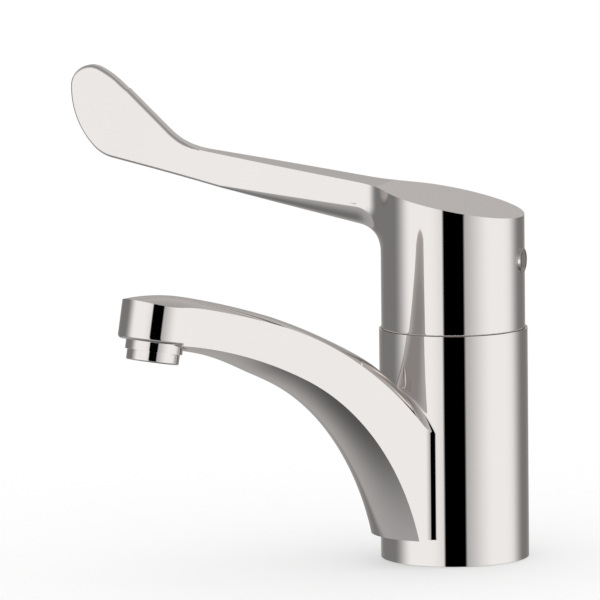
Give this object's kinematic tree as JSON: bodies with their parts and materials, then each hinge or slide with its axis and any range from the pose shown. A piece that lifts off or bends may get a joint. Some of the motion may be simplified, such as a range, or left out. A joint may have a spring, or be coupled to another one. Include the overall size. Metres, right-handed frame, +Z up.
{
  "type": "elbow lever tap",
  "caption": "Chrome deck-mounted mixer tap with a cylindrical body, a fixed arched spout and a long elbow lever ending in an upright blade.",
  "frame": {"origin": "centre of the body's flat base, on the deck", "axes": "+Z up along the body's axis; -Y toward the user, along the spout; the hot side is -X"},
  "size_m": [0.1409, 0.1663, 0.1642],
  "materials": {
    "chrome_plate": "polished",
    "brass": "machined",
    "steel": "turned",
    "rubber": "matte",
    "white_plastic": "moulded",
    "grey_plastic": "moulded",
    "red_plastic": "moulded",
    "ceramic": "lapped ceramic"
  },
  "bodies": {
    "root": {"body_casting": "chrome_plate", "base_gasket": "rubber", "aerator_ring": "chrome_plate", "aerator_insert": "white_plastic", "flow_regulator": "red_plastic", "aerator_washer": "rubber", "cartridge_housing": "white_plastic", "cartridge_base": "grey_plastic", "port_seals": "rubber", "housing_seal": "rubber", "disc_seal": "rubber", "fixed_disc": "ceramic", "limit_ring": "red_plastic", "retaining_nut": "brass", "nut_cover": "chrome_plate"},
    "turner": {"rotor": "white_plastic", "rotor_seal": "rubber", "pivot_pin": "steel"},
    "lever": {"handle": "chrome_plate", "stem": "steel", "set_screw": "steel", "screw_plug": "chrome_plate"},
    "slider": {"moving_disc": "ceramic", "disc_carrier": "grey_plastic"}
  },
  "joints": [
    {"name": "temperature_turn", "type": "hinge", "parent": "root", "child": "turner", "pos_m": [0, 0, 0.0776], "axis": [0, 0, 1], "range_deg": [0, 116]},
    {"name": "flow_lift", "type": "hinge", "parent": "turner", "child": "lever", "pos_m": [0, 0, 0.0839], "axis": [-0.5299, 0.848, 0], "range_deg": [0, 20]},
    {"name": "disc_slide", "type": "slide", "parent": "turner", "child": "slider", "axis": [-0.848, -0.5299, 0], "range_m": [0, 0.0048]}
  ],
  "couplings": [
    {"joint": "disc_slide", "follows": "flow_lift", "m_per_rad": 0.01374}
  ]
}
